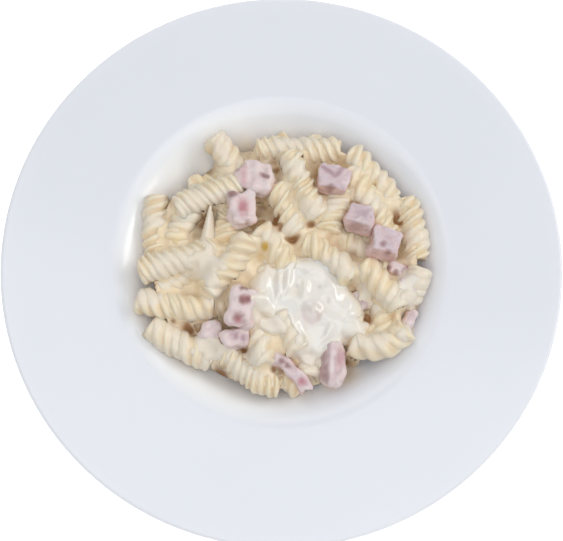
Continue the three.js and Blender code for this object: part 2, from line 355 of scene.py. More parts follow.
def porcelain_finish():
    """White glaze, a little cool, with a faint unevenness in its reflections. Painted light makes it lighter in
    the well, most on the well's left side. Painted warm shade, partly sauce run onto the glaze, lies beside the
    food.
    """
    finish = Finish("porcelain")
    colour = finish.mixed(finish.noise(60), tint(229, 231, 237), tint(232, 234, 239))
    # Painted light in the well.
    colour = finish.mixed(finish.painted("inside"), colour, tint(245, 246, 248))
    # Sauce stains and painted warm shade beside the food.
    colour = finish.mixed(finish.painted("sauce_stain_and_shade") * 0.6, colour, tint(230, 212, 184))
    return finish.surface(
        colour,
        finish.noise(40) * 0.04 + 0.15,
        finish.bump(finish.noise(22, 1), 0.12, 0.5),
        IOR=1.46,
        Subsurface_Weight=0.4,
        Subsurface_Radius=(1.0, 1.0, 1.0),
        Subsurface_Scale=0.006,
        Coat_Weight=0.1,
        Coat_Roughness=0.1,
    )


make_piece("porcelain_plate", plate_surface(), porcelain_finish(), "porcelain", "plate")


# ---------- spiral pasta ----------

TWIST_RADIUS = 6.9
TWIST_DEPTH = 1.75  # of the grooves
TWIST_PITCH = 14.6  # length over which a blade turns once
TWIST_BLADES = 3
TWIST_SWIRL = 0.22  # radians by which a blade's crest lies ahead of its root
TWIST_GROOVE_POWER = 1.15
TWIST_END_ROUND = 1.9  # length of the rounded end
TWIST_END_SIZE = 0.64  # the cut's radius as a share of the whole
ROLL_STEP = 47  # degrees by which each spiral is rolled further than the one before
PLATE_GAP = 0.4  # between the food and the plate

# Middle of the axis, heading in plan, rise of the far end, length and bend, in millimetres and degrees.
# depth and stretch scale the grooves' depth and the pitch, sauce is how thickly sauce clings to the spiral.
TWISTS = [
    dict(at=(-26, 49.5, 41), heading=-54, tilt=-20, length=30, sauce=0.55),
    dict(at=(-62, 13, 39.5), heading=-90, tilt=-5, length=36),
    dict(at=(-45.5, 21, 41), heading=-122, tilt=-3, length=32, stretch=1.2, sauce=0.3),
    dict(at=(-36, 30, 45.5), heading=24, tilt=2, length=35, bend=-10, sauce=0.5, stretch=0.72),
    dict(at=(-50, -3, 46), heading=22, tilt=-3, length=39, bend=8, stretch=0.85, sauce=0.25),
    dict(at=(-25, -6, 48), heading=-130, tilt=-4, length=33, bend=-10, sauce=0.35),
    dict(at=(-3, 2.5, 46), heading=-51, tilt=-15, length=26, stretch=1.3, sauce=0.4, depth=1.8),
    dict(at=(-46, -9, 39), heading=28, tilt=-2, length=31, sauce=0.6),
    dict(at=(-51, -25, 45), heading=-5, tilt=-3, length=37, bend=8, stretch=1.0, sauce=0.25),
    dict(at=(-48, -43, 41.5), heading=-28, tilt=-5, length=35, bend=8, sauce=0.45),
    dict(at=(-16.5, -56, 41.5), heading=-33, tilt=-3, length=35, bend=30, stretch=0.72),
    dict(at=(-10.5, -40.5, 44.5), heading=-78, tilt=16, length=27, stretch=1.3, sauce=0.5, depth=1.4),
    dict(at=(4, -38, 45), heading=-61, tilt=6, length=21, sauce=0.8),
    dict(at=(8.5, 55, 42), heading=-1, length=42, bend=-6, depth=1.3),
    dict(at=(10, 34, 49.5), heading=-67, tilt=-2, length=36, bend=10, depth=1.25, stretch=1.02),
    dict(at=(2, 22, 46.5), heading=-69, tilt=-2, length=26, stretch=1.2, depth=2.1, sauce=0),
    dict(at=(27, 25, 44.5), heading=-110, tilt=10, length=31, sauce=0.1, depth=0.9, stretch=0.9),
    dict(at=(23, -2, 46.5), heading=-43, tilt=2, length=30, bend=-14, depth=1.2, stretch=1.2),
    dict(at=(45, 41, 43), heading=-49, length=33, bend=-12, depth=1.25, stretch=1.15),
    dict(at=(43, 26, 46), heading=-61, tilt=3, length=39, bend=-8, depth=1.25, stretch=1.17),
    dict(at=(64.5, 13.5, 43.5), heading=-79, tilt=-3, length=32, bend=-14, depth=1.2, stretch=1.05),
    dict(at=(48, -15.5, 47.5), heading=-51, tilt=-2, length=28, bend=-14, stretch=1.3, sauce=0.4),
    dict(at=(63, -16, 43), heading=-116, tilt=-13, length=22, sauce=0.5),
    dict(at=(49, -29, 41), heading=-96, tilt=2, length=30, stretch=1.3, sauce=0.2),
    dict(at=(47, -44, 45), heading=12, tilt=4, length=30, bend=70, stretch=1.35, sauce=0.5),
    dict(at=(14, -46, 38), heading=-97, tilt=10, length=26, sauce=0.8),
    dict(at=(-8, -12, 41.5), heading=-94, tilt=11, length=28, sauce=0.8),
    dict(at=(-27, 9, 40), heading=-99, tilt=-14, length=18),
    dict(at=(37, 5, 39.5), heading=-34, tilt=3, length=37),
    dict(at=(0, -54, 36), heading=-45, tilt=2, length=29),
    dict(at=(24.5, -31, 42), heading=-17, tilt=3, length=28, sauce=0.9),
]

# Gaps between the spirals that stay deep, painted brown as shade: place and radius.
GAPS = [
    (0.9, 11.8, 1.9), (5.1, 7.9, 2.4), (14.9, 16.8, 2.9), (12, 19, 2.1), (-2, 17.3, 1.7), (33, 27.5, 2.1),
    (32.8, 24, 1.7), (30.5, 15.8, 1.5), (43.5, 40, 2.0), (47.3, 35.3, 1.6), (52.1, 30.1, 1.5),
    (55.5, 16.5, 3.2), (44.5, -1.8, 2.8), (36.8, 1.7, 2.0), (-2.7, 51, 2.6), (-2.2, 42, 2.0),
    (-9, 24, 3.6), (-6.5, 18, 2.6), (-3.5, 15, 1.8), (-39.6, 20.9, 3.8), (-53.1, 28.1, 2.1),
    (-54.2, 15.3, 2.0), (-56, -7.8, 2.4), (-19.3, 8.2, 2.4), (-25.5, -0.3, 1.9), (-63.5, -16.6, 2.4),
    (-43.7, -35.1, 3.2), (-38.4, -38.5, 5.0), (-34, -32, 2.6), (-51.9, -32.2, 1.2), (-28.6, -25.4, 2.6),
    (-29.1, -56.1, 2.8), (-17.3, -48, 2.8), (-0.7, -53.7, 2.6), (-10.3, -29.8, 1.9), (36.6, -18, 2.4),
    (40.5, -29.8, 2.6), (63.2, -25, 2.6), (31.3, -49, 2.4), (14.4, -56.1, 2.8), (69.7, -5.3, 2.0),
    (-13, 55, 3.4),
]
GAP_SPREAD = 1.6  # width of a gap's bell curve in its radii
# Painted shade: what lies below GAP_HEIGHT in a gap is painted brown.
GAP_HEIGHT = 42  # what lies below this height in a gap is brown, fading over the next GAP_FADE
GAP_FADE = 4

# Low spirals that show through the sauce: place and radius.
BARE = [(49, -29, 6), (-46, 22, 7), (-27, 9, 5), (-48, 14, 5), (37, 5, 5), (-16, -56, 4)]

# Yellow spots on the pasta: place, radius and strength.
GOLDEN = [
    (-7.9, 2.7, 2.0, 1.0), (-10, -1.5, 2.2, 0.35), (-34, -28, 2.0, 0.35), (-8, 12, 3.0, 0.25),
    (12, 33, 2.5, 0.2),
]
GOLD = tint(216, 174, 66)


def bell(x, y, middle_x, middle_y, width):
    """A bell curve round a place in plan, 1 in its middle."""
    return np.exp(-((x - middle_x) ** 2 + (y - middle_y) ** 2) / width**2)


def gap_depth(x, y):
    """1 in the middle of the gaps that stay deep, falling off as a bell curve with a ragged border."""
    deep = np.zeros_like(x)
    ragged = 1 + 0.3 * wavy(np.stack([x, y, 0 * x], -1), 6, SEED + 21)
    for gap_x, gap_y, radius in GAPS:
        deep = np.maximum(deep, bell(x, y, gap_x, gap_y, GAP_SPREAD * radius * ragged))
    return deep


def golden_spots(x, y):
    """1 in the middle of the yellow spots."""
    return spotted(x, y, GOLDEN, 0.3, 1.4)


def axis_points(twist, share):
    """Points on a spiral's axis at shares from -0.5 to 0.5: a gentle bend in plan and a steady rise."""
    direction = np.radians(twist["heading"] + twist.get("bend", 0) * share / 2)
    slope = math.radians(twist.get("tilt", 0))
    level, rise = math.cos(slope), np.full_like(share, math.sin(slope))
    along = np.stack([np.cos(direction) * level, np.sin(direction) * level, rise], -1)
    return along * (share * twist["length"])[:, None] + np.array(twist["at"], float)


def above_plate(points):
    """Points moved up where they would lie in the plate."""
    x, y, z = points.T
    return np.stack([x, y, np.maximum(z, plate_height(np.hypot(x, y)) + PLATE_GAP)], -1)


def spiral_surface(twist, number, columns=60, row_step=0.75):
    """A three-bladed spiral: radius R - D * ((1 + cos(p)) / 2)^1.15 at phase p round its turning section.

    The crest of each blade leans ahead of its root, the cut ends are rounded and slightly dished, slow waves
    make every spiral a little uneven, and where sauce clings to it the grooves are shallower. A spiral's own
    sauce, from 0 to 1, adds to that, and its own depth scales its grooves.
    """
    random = np.random.default_rng(SEED + number)
    length = twist["length"]
    from_end = np.array([0, 0, 0.12, 0.4, 0.85])
    middle = np.linspace(1.4, length - 1.4, int(length / row_step))
    along = np.concatenate([from_end, middle, length - from_end[::-1]])
    share = along / length - 0.5
    centre = axis_points(twist, share)
    forward = axis_points(twist, share + 0.01) - axis_points(twist, share - 0.01)
    forward /= np.linalg.norm(forward, axis=1)[:, None]
    side = np.cross([0, 0, 1], forward)
    side /= np.linalg.norm(side, axis=1)[:, None]
    up = np.cross(forward, side)

    def out_from_axis(around, radius):
        """Steps from the axis, at angles round it."""
        across, upward = (np.cos(around) * radius)[..., None], (np.sin(around) * radius)[..., None]
        return side[:, None, :] * across + up[:, None, :] * upward

    even = np.linspace(0, 2 * math.pi, columns // TWIST_BLADES, endpoint=False)
    phase = np.tile(even - 0.3 * np.sin(even), TWIST_BLADES)
    blade = np.repeat(np.arange(TWIST_BLADES), columns // TWIST_BLADES)
    angle = (phase + 2 * math.pi * blade) / TWIST_BLADES
    groove = (0.5 + 0.5 * np.cos(phase)) ** TWIST_GROOVE_POWER

    pitch = TWIST_PITCH * twist.get("stretch", random.uniform(0.94, 1.08))
    ease = 1 + 0.05 * np.sin(share * random.uniform(4, 9) + random.uniform(0, 6))
    turn = math.radians(number * ROLL_STEP) + 2 * math.pi * share * length / pitch * ease
    around = angle + turn[:, None]
    crest = TWIST_RADIUS * random.uniform(0.95, 1.0) * (1 + 0.05 * np.cos(blade * 2.1 + number))
    depth = TWIST_DEPTH * twist.get("depth", 1) * (1 + 0.1 * np.sin(along[:, None] * 0.3 + number))
    outline = centre[:, None, :] + out_from_axis(around, TWIST_RADIUS)
    lifted = (outline[..., 2] - centre[:, None, 2]) / TWIST_RADIUS
    coat = smooth_step(wavy(outline, 17, SEED + 1) + 0.25 * lifted, -0.6, 1.4)
    coat = np.minimum(coat + twist.get("sauce", 0.15), 1)
    from_cut = np.clip(np.minimum(along, length - along) / TWIST_END_ROUND, 0, 1)
    rounding = TWIST_END_SIZE + (1 - TWIST_END_SIZE) * np.sqrt(1 - (1 - from_cut) ** 2)
    rounding[[0, -1]] = 0.35
    radius = (crest - depth * groove * (1 - 0.75 * coat)) * rounding[:, None]
    around = around + TWIST_SWIRL * (radius / TWIST_RADIUS) ** 2
    dish = np.zeros_like(along)
    dish[0], dish[-1] = 0.35, -0.35
    points = (centre + forward * dish[:, None])[:, None, :] + out_from_axis(around, radius)
    shape = points.shape[:2]
    points = points.reshape(-1, 3)
    for i, (size, amount) in enumerate([(26, 0.5), (11, 0.28), (4.5, 0.1)]):
        shift = np.stack([wavy(points, size, SEED * 7 + i * 3 + axis) for axis in range(3)], -1)
        points = points + shift * amount
    middles = centre[[0, -1]] + forward[[0, -1]] * [[0.45], [-0.45]]
    points = above_plate(np.concatenate([points, middles]))
    x, y, z = points.T
    values = {
        "groove": np.append(np.broadcast_to(groove, shape), [0.5, 0.5]),
        "coat": np.append(coat, [0.3, 0.3]),
        "tone": np.full(len(points), random.uniform(0, 1)),
        # How much painted brown shade a point takes in the gaps that stay deep.
        "deep": gap_depth(x, y) * (1 - smooth_step(z, GAP_HEIGHT, GAP_HEIGHT + GAP_FADE)),
        "golden": golden_spots(x, y),
    }
    return points, tube_quads(*shape), values


# Rings of the layer underneath: radius, number of spirals and height.
LOWER_RINGS = [(51, 11, 34.5), (33, 9, 36.5), (13, 4, 37.5)]


def lower_twists():
    """Spirals of the layer underneath, laid at random round the well."""
    random = np.random.default_rng(SEED)
    laid = []
    for ring, count, height in LOWER_RINGS:
        for i in range(count):
            place = 2 * math.pi * (i + random.uniform(-0.25, 0.25)) / count
            radius = ring + random.uniform(-4, 4)
            laid.append(
                dict(
                    at=(radius * math.cos(place), radius * math.sin(place), height + random.uniform(-1.5, 1.5)),
                    heading=math.degrees(place) + 90 + random.uniform(-35, 35),
                    tilt=random.uniform(-6, 6),
                    length=random.uniform(28, 36),
                    bend=random.uniform(-12, 12),
                )
            )
    return laid


def pasta_finish(name, crest, hollow, veil):
    """Cooked durum pasta under cream: pale crests, straw-yellow grooves, a wet coat and a patchy white veil.
    Painted shade makes it warm brown where it lies deep below the heap's crests, and darker brown in the gaps
    that stay deep.
    """
    finish = Finish(name)
    groove, coat, tone = (finish.painted(name) for name in ("groove", "coat", "tone"))
    warm = finish.mixed(tone, crest, toned(crest, 1.0, 0.975, 0.92))
    patch = finish.between(finish.noise(9, 3), 0.38, 0.68)
    body = finish.mixed(patch * 0.4, warm, toned(crest, 0.99, 0.95, 0.80))
    in_groove = finish.between(groove, 0.2, 0.95) * (1 - coat * 0.5)
    body = finish.mixed(in_groove * 0.7, body, hollow)
    film = finish.between(finish.noise(12, 3) * 0.5 + coat * 0.5, 0.42, 0.85)
    body = finish.mixed(film * 0.85, body, veil)
    body = finish.mixed(finish.painted("golden"), body, GOLD)
    # Painted shade: warm brown where the pasta lies deep below the heap's crests.
    body = finish.mixed(finish.painted("low") * 0.75, body, tint(220, 176, 118))
    # Painted shade: brown in the gaps that stay deep.
    body = finish.mixed(finish.painted("deep") * 0.9, body, tint(142, 98, 54))
    return finish.surface(
        body,
        finish.noise(5) * 0.22 + 0.3,
        finish.bump(finish.noise(0.9, 3, 0.6) * 0.3 + finish.noise(3.5), 0.25, 0.7),
        IOR=1.42,
        Subsurface_Weight=0.5,
        Subsurface_Radius=(1.0, 0.8, 0.6),
        Subsurface_Scale=0.0022,
        Coat_Weight=0.4,
        Coat_Roughness=0.18,
    )


shown = joined([spiral_surface(twist, i) for i, twist in enumerate(TWISTS)])
lower = joined([spiral_surface(twist, i + 60, 42, 1.0) for i, twist in enumerate(lower_twists())])


# ---------- height map and the core under the spirals ----------

CELL = 0.5  # side of a cell of the height map
REACH = 82  # the map's half width
CELLS = int(2 * REACH / CELL)


def cell_of(points):
    """Row and column of the cell that each point lies over."""
    x, y = np.clip(((points[:, :2] + REACH) / CELL).astype(int), 0, CELLS - 1).T
    return y, x


def height_map(points):
    """Highest point over each cell of a square grid, with the gaps between points closed."""
    heights = np.full((CELLS, CELLS), -1.0)
    np.maximum.at(heights, cell_of(points), points[:, 2])
    return closed_gaps(heights, 2)


def spread(heights, choose):
    """Each cell becomes the highest, or lowest, of itself and its eight neighbours."""
    wide = np.pad(heights, 1, mode="edge")
    rows = choose(choose(wide[:-2], wide[1:-1]), wide[2:])
    return choose(choose(rows[:, :-2], rows[:, 1:-1]), rows[:, 2:])


def closed_gaps(heights, cells):
    """Gaps up to twice as many cells wide closed with the height of their lower side."""
    for choose in [np.maximum] * cells + [np.minimum] * cells:
        heights = spread(heights, choose)
    return heights


def blurred(heights, size):
    """Heights averaged over a bell curve size millimetres wide."""
    reach = np.arange(CELLS)
    weights = np.exp(-(((reach[:, None] - reach[None, :]) * CELL / size) ** 2) / 2)
    weights /= weights.sum(1, keepdims=True)
    return weights @ heights @ weights.T


# x and y of the middle of every cell, the same as points in plan, and the plate's height there.
CELL_X, CELL_Y = np.meshgrid(*[(np.arange(CELLS) + 0.5) * CELL - REACH] * 2)
CELL_POINTS = np.stack([CELL_X, CELL_Y, 0 * CELL_X], -1)
CELL_FLOOR = plate_height(np.hypot(CELL_X, CELL_Y))

CORE_TOP = 40
CORE_FALL = 17
CORE_RADIUS = 61
CORE_RINGS = 48
CORE_SIDES = 144


def core_surface():
    """A lumpy dome of sauce and pasta: polar grid, top falling with the square of the radius, closed below."""
    radii = np.concatenate([np.linspace(1, CORE_RADIUS, CORE_RINGS), [CORE_RADIUS - 1, 40, 1]])
    top = CORE_TOP - CORE_FALL * (radii[:CORE_RINGS] / CORE_RADIUS) ** 2
    heights = np.array([*top, 19, WELL_FLOOR_HEIGHT + 1, WELL_FLOOR_HEIGHT + 1])
    rings = revolved(radii, heights, CORE_SIDES)
    rings[:CORE_RINGS, :, 2] += 1.2 * wavy(rings[:CORE_RINGS], 13, SEED + 5)
    points = above_plate(rings.reshape(-1, 3))
    middles = [[0, 0, points[:CORE_SIDES, 2].mean()], [0, 0, WELL_FLOOR_HEIGHT + PLATE_GAP]]
    return np.concatenate([points, middles]), tube_quads(len(radii), CORE_SIDES, turned_over=True), {}


def sauce_finish():
    """Thick sauce deep between the spirals: warm beige, painted darker than the sauce higher up to stand for the
    shade there.
    """
    finish = Finish("deep_sauce")
    patch = finish.between(finish.noise(8, 3), 0.35, 0.65)
    colour = finish.mixed(patch, tint(214, 180, 134), tint(228, 200, 160))
    return finish.surface(
        colour,
        finish.noise(6) * 0.2 + 0.3,
        finish.bump(finish.noise(4, 3), 0.5),
        Subsurface_Weight=0.2,
        Subsurface_Radius=(1.0, 0.6, 0.3),
        Subsurface_Scale=0.002,
    )


core = core_surface()


# ---------- ham ----------

HAM_ROUND = 1.9  # radius of the rounded edges
HAM_UNEVEN = 0.07


def stroke(path, radius, strength=1.0):
    """Marks in a row along a line, each (x, y, radius, radius, strength)."""
    return [(x, y, radius, radius, strength) for x, y in zip(*points_along(path, 6 * len(path) - 5))]


# Middle, width, depth and height, then turns in plan, towards the diner and sideways. lump is the height of
# the slow waves, milky how much cream covers it. Marks are dark brown, rosy or lilac spots: place in plan and
# half width, then half depth and strength where they are given. Some dark marks are painted shade: under the
# first block's front, on the second's front face, in the sixth's hole, in the seventh's slit, and on the
# twelfth's left face, which is partly the meat's grain.
HAM = [
    dict(
        at=(25, 36, 51), size=(15, 13, 10), yaw=-13, pitch=-9, bank=4,
        lilac=stroke([(20.4, 40.8), (22.3, 39.3), (25.6, 36.3), (28.1, 38.3), (29.8, 41)], 1.3),
        dark=stroke([(20.4, 40.8), (22.3, 39.3), (25.6, 36.3), (28.1, 38.3), (29.6, 40.8)], 0.9, 0.45)
        # Painted shade: the dark mark under the block's front.
        + [(23.5, 31, 2.4, 1.4, 0.9)],
    ),
    dict(
        at=(38, 16.5, 50), size=(13.5, 12, 10.5), yaw=-16, pitch=-26, bank=-6,
        # Painted shade on the front face: the dark mark.
        lilac=[(38, 19, 3.0, 2.2, 0.9)], dark=[(35.5, 12.2, 3.4, 1.8, 0.4)],
    ),
    dict(
        at=(49, 4, 51), size=(14, 13, 11), yaw=-13, pitch=-16, bank=8,
        dark=[(47.5, 2.6, 1.7, 1.6, 0.9), (50.2, -1.2, 1.3, 1.2, 0.7), (50, -4.4, 4.0, 0.9, 0.35)],
    ),
    dict(
        at=(58, -7.5, 43), size=(14, 7, 6), yaw=-20, pitch=-10, bank=4, milky=0.5,
        rosy=[(61, -5.5, 1.7)], dark=[(55, -8.8, 1.5), (51.5, -6.5, 1.3)],
    ),
    dict(at=(60, -16, 48), size=(8, 8, 5), yaw=12, pitch=10, milky=0.9, dark=[(57, -17, 1.6)]),
    dict(
        at=(-19, 22, 48.5), size=(13, 18, 9.5), yaw=8, pitch=-6, bank=10, milky=1.0, round=3.6, lump=1.0,
        # Painted shade in a hole: the first dark mark.
        rosy=[(-18.5, 22, 2.5, 4.4)], dark=[(-23.6, 28.4, 2.7, 2.3), (-16.4, 15, 1.4, 1.2, 0.4)],
    ),
    dict(
        at=(-13, 38, 48), size=(18, 16, 9.5), yaw=-28, pitch=6, bank=-6, milky=1.0, round=3.4, lump=1.5,
        # Painted shade in a slit: the dark stroke.
        dark=stroke([(-9.8, 38.9), (-6.4, 36.6)], 0.9) + [(-21.5, 40.9, 1.5, 1.2, 0.6)],
        rosy=stroke([(-18.2, 42), (-18.6, 38), (-18, 34)], 1.6, 0.5),
    ),
    dict(
        at=(-18.6, -26.5, 51), size=(12.5, 19, 10), yaw=-12, pitch=-5, bank=-6, milky=1.0, round=3.0, lump=0.7,
        dark=[
            (-18, -23.8, 1.9), (-15.8, -23.8, 1.8), (-20, -31.5, 2.9, 2.3, 0.7), (-17.6, -34, 1.7, 1.5, 0.6),
            (-16.6, -18, 1.3), (-18.4, -18, 1.2),
        ],
        rosy=[(-20, -33.2, 2.2), (-17, -23.8, 2.4)],
    ),
    dict(
        at=(-21.5, -41, 47.5), size=(12.5, 10, 9.5), yaw=14, pitch=-12, bank=8, milky=0.8, round=2.8, lump=0.7,
        lilac=[(-22, -40, 2.4), (-17.5, -41, 2.4)],
        dark=[(-21.2, -40.5, 0.9, 1.9, 0.5), (-17.8, -41, 0.8, 1.9, 0.5), (-19.5, -45.5, 2.2, 1.0, 0.6)],
    ),
    dict(at=(-33.5, -37.5, 44.5), size=(10, 11, 8), yaw=-18, pitch=4, bank=12, milky=1.0, round=3.4, lump=0.7),
    dict(
        at=(4.8, -55.5, 44.5), size=(26, 6.5, 6), yaw=-44, pitch=-6, bend=-38, round=2.4, lump=0.5, milky=0.3,
        dark=[(0, -51.5, 1.5), (3, -53.5, 1.4)], rosy=[(9.5, -61, 2.0)],
    ),
    dict(
        at=(24, -52, 44.5), size=(10.5, 24, 10.5), yaw=-3, pitch=6, bank=40, taper=0.1, tip=0.5, round=2.6,
        lump=0.4, milky=0.5, rosy=[(27.5, -50, 2.4, 4.4, 0.5)],
        # Dark left face: partly the meat's grain, partly painted shade.
        dark=[(19.4, -49.5, 2.4, 3.0, 0.5), (19.4, -54, 2.8, 3.0, 0.6), (20.2, -58.5, 2.4, 2.4, 0.6)],
    ),
    dict(at=(60.5, -32, 44), size=(6, 11, 6), yaw=-16, bank=10, milky=0.6, round=2.4, lump=0.5),
    dict(at=(38, -22, 41), size=(7, 9, 7), yaw=20, milky=1.0, dark=[(38, -22, 2.4, 3.4, 0.5)]),
]


def turned(points, block):
    """Points turned sideways, then towards the diner, then in plan."""
    bank, pitch, yaw = (math.radians(block.get(key, 0)) for key in ("bank", "pitch", "yaw"))
    about_y = np.array([[math.cos(bank), 0, math.sin(bank)], [0, 1, 0], [-math.sin(bank), 0, math.cos(bank)]])
    about_x = np.array([[1, 0, 0], [0, math.cos(pitch), -math.sin(pitch)], [0, math.sin(pitch), math.cos(pitch)]])
    about_z = np.array([[math.cos(yaw), -math.sin(yaw), 0], [math.sin(yaw), math.cos(yaw), 0], [0, 0, 1]])
    return points @ (about_z @ about_x @ about_y).T


def block_surface(block, number, cells=24):
    """A diced block: the surface of a cube drawn in to a smaller box, then pushed out by the rounding's radius.

    Each face is a grid on the cube. Slow waves make the cut faces uneven, and finer ones give the meat's grain.
    """
    sweep = math.pi / 2 * 0.92
    line = np.sin(np.linspace(-1, 1, cells + 1) * sweep) / math.sin(sweep)
    a, b = np.meshgrid(line, line, indexing="ij")
    one = np.ones_like(a)
    faces = [(one, a, b), (-one, b, a), (b, one, a), (a, -one, b), (a, b, one), (b, a, -one)]
    points, quads = [], []
    for i, face in enumerate(faces):
        points.append(np.stack(face, -1).reshape(-1, 3))
        quads.append(grid_quads(cells + 1, cells + 1, closed=False) + i * (cells + 1) ** 2)
    cube, quads = np.concatenate(points), np.concatenate(quads)
    cube, index = np.unique(np.round(cube, 6), axis=0, return_inverse=True)
    quads = index.reshape(-1)[quads]
    half = np.array(block["size"], float) / 2
    round_off = min(block.get("round", HAM_ROUND), half.min() * 0.9)
    inner = half - round_off
    held = np.clip(cube * half, -inner, inner)
    out = cube * half - held
    out /= np.maximum(np.linalg.norm(out, axis=1), 1e-9)[:, None]
    points = held + out * round_off
    distance = np.sort(half - np.abs(points), axis=1)
    edge = 1 - smooth_step(distance[:, 1], 0.3, 2.2)
    across, along, up = cube.T
    narrow = 1 - block.get("taper", 0) * (0.5 + 0.5 * along) - block.get("tip", 0) * along**4
    points = points * np.stack([narrow, np.ones_like(narrow), narrow], -1)
    swing = 2.4 * number
    lean = [np.sin(swing + 1.9 * along + up), np.sin(swing + 1.9 * across + 4), 0 * across]
    points = points * (1 + HAM_UNEVEN * np.stack(lean, -1))
    relief = block.get("lump", 0.45) * wavy(points, 8, SEED + 11 * number)
    relief += 0.18 * wavy(points, 3, SEED + 5 * number)
    points = points + out * relief[:, None]
    bend = math.radians(block.get("bend", 0)) / block["size"][0]
    turn = bend * points[:, 0]
    points[:, 1] += bend * points[:, 0] ** 2 / 2
    points[:, 0] -= points[:, 1] * turn
    facing = turned(out, block)[:, 2]
    placed = turned(points, block) + np.array(block["at"], float)
    values = {
        "edge": edge,
        "facing": facing,
        "tone": np.full(len(placed), (0.37 * number * number) % 1.0),
        "milky": np.full(len(placed), float(block.get("milky", 0))),
    }
    ragged = 0.12 * wavy(placed, 2.5, SEED + number)
    for kind in ("dark", "rosy", "lilac"):
        mark = np.zeros(len(placed))
        for x, y, wide, *more in block.get(kind, []):
            deep, strength = more + [wide, 1.0][len(more):]
            away = np.hypot((placed[:, 0] - x) / wide, (placed[:, 1] - y) / deep) + ragged
            mark = np.maximum(mark, strength * (1 - smooth_step(away, 0.3, 1.6)))
        values[kind] = mark * smooth_step(facing, -0.2, 0.15)
    return placed, quads, values


def ham_finish():
    """Cooked ham: pink cut faces with darker muscle, lilac-grey on the faces that point up, cream along the
    edges, and dark marks, some of them painted shade.
    """
    finish = Finish("diced_ham")
    facing, edge, tone, milky = (finish.painted(name) for name in ("facing", "edge", "tone", "milky"))
    meat = finish.mixed(tone, tint(226, 194, 188), tint(218, 184, 178))
    muscle = finish.between(finish.noise(4.5, 3, 0.55, distortion=0.6), 0.42, 0.72)
    meat = finish.mixed(muscle * 0.5, meat, tint(194, 150, 144))
    fat = finish.between(finish.noise(4, distortion=1.2), 0.55, 0.75)
    meat = finish.mixed(fat * 0.5, meat, tint(232, 214, 208))
    # Lilac-grey on the faces that point up.
    up = finish.between(facing, 0.2, 0.9)
    lilac_on_top = up * (finish.between(finish.noise(5), 0.3, 0.6) * 0.35 + 0.6)
    meat = finish.mixed(lilac_on_top, meat, tint(217, 201, 207))
    blotch = finish.between(finish.noise(5, 3, distortion=0.8) - edge * 0.1, 0.46, 0.68)
    meat = finish.mixed(blotch * 0.4, meat, tint(190, 158, 163))
    film = finish.between(finish.noise(5, 3) + edge * 0.1 + milky * 0.3, 0.52, 0.8)
    meat = finish.mixed(film * 0.85, meat, tint(237, 220, 217))
    meat = finish.mixed(finish.painted("lilac") * 0.6, meat, tint(186, 158, 172))
    meat = finish.mixed(finish.painted("rosy") * 0.85, meat, tint(190, 120, 130))
    # Dark marks, some of them painted shade.
    meat = finish.mixed(finish.painted("dark") * 0.8, meat, tint(138, 92, 88))
    return finish.surface(
        meat,
        finish.noise(3) * 0.25 + 0.28,
        finish.bump(finish.noise(1.6, 3, 0.6), 0.3, 0.8),
        IOR=1.42,
        Subsurface_Weight=0.25,
        Subsurface_Radius=(1.0, 0.5, 0.45),
        Subsurface_Scale=0.002,
        Coat_Weight=0.2,
        Coat_Roughness=0.2,
    )


blocks = joined([block_surface(block, i) for i, block in enumerate(HAM)])
make_piece("ham_cubes", blocks, ham_finish(), "ham", *[f"ham_{i + 1:02d}" for i in range(len(HAM))])


# ---------- cream ----------

CREAM_CENTRE = (14, -23)
CREAM_RADIUS = 20.5
CREAM_OVAL = 3.6  # added to the radius along the heading, taken off across it
CREAM_HEADING = 137
CREAM_TOP = 49.9
CREAM_LIMIT = 74  # no cream lies further from the plate's middle

# Where the pool reaches further: heading and half width in degrees, extra reach. The first runs down.
LOBES = [(-84, 14, 4.5), (62, 28, 4.5), (-22, 16, 3.0), (-118, 24, 3.5), (178, 26, 3.5)]

# Folds that the poured cream keeps, and hollows: points along each, then its height and width.
FOLDS = [
    ([(-1, -6), (-1.3, -9), (-0.9, -19), (-2.8, -23), (-2.3, -29)], 1.3, 1.2),
    ([(5.5, -2), (3.6, -8), (2.4, -16), (-0.2, -21)], 1.3, 1.2),
    ([(12, -11), (11.7, -15.5), (11, -22)], 0.8, 1.3),
    ([(25, -31), (23.5, -35), (21.4, -40), (18, -43)], 1.1, 1.2),
    ([(34, -20), (33, -25), (29, -31)], 0.9, 1.6),
    ([(17, -8), (14, -9.7), (11, -8)], 0.7, 1.4),
    ([(22, -12), (25, -18), (24, -25)], 0.7, 1.8),
    ([(6, -30), (7, -35), (10, -39)], 0.8, 1.5),
]
HOLLOWS = [
    ([(7, -9), (7.5, -15), (6, -21)], 0.8, 1.7),
    ([(1, -12), (0.8, -19)], 0.5, 0.9),
    ([(18, -13), (19, -19)], 0.5, 1.8),
    ([(20, -22), (22, -29), (17, -35)], 0.5, 1.5),
]

# Thin smears of sauce over the spirals: middle, half widths, heading, thickness and how white they are.
SMEARS = [
    ((-36, -7), (9, 12), 10, 1.4, 0.15),
    ((-34, 14), (3, 9), 10, 0.4, 0.2),
    ((-33, -47), (11, 7), -25, 0.8, 0.1),
    ((-8, -14), (8, 9), 0, 1.4, 0.4),
    ((-7, -25), (6, 10), -8, 2.0, 0.6),
    ((-4, -35), (7, 6), 0, 1.8, 0.4),
    ((-13, -49), (5, 5), 0, 0.8, 0.2),
    ((13, -45), (8, 8), 10, 1.6, 0.5),
    ((34, -35), (8, 6), 0, 1.6, 0.7),
    ((60, -14), (8, 6), 0, 0.5, 0.6),
    ((58.5, -38.5), (6, 5), 0, 1.6, 0.1),
    ((60, -22), (5, 5), 0, 1.4, 0.2),
    ((40, -19), (5, 6), 0, 0.5, 0.2),
]

# Drips that hang free between two spirals: start, end, then their half widths there.
STRANDS = [((-34.4, 23, 50.5), (-36.4, 6, 49.5), 0.8, 2.5)]

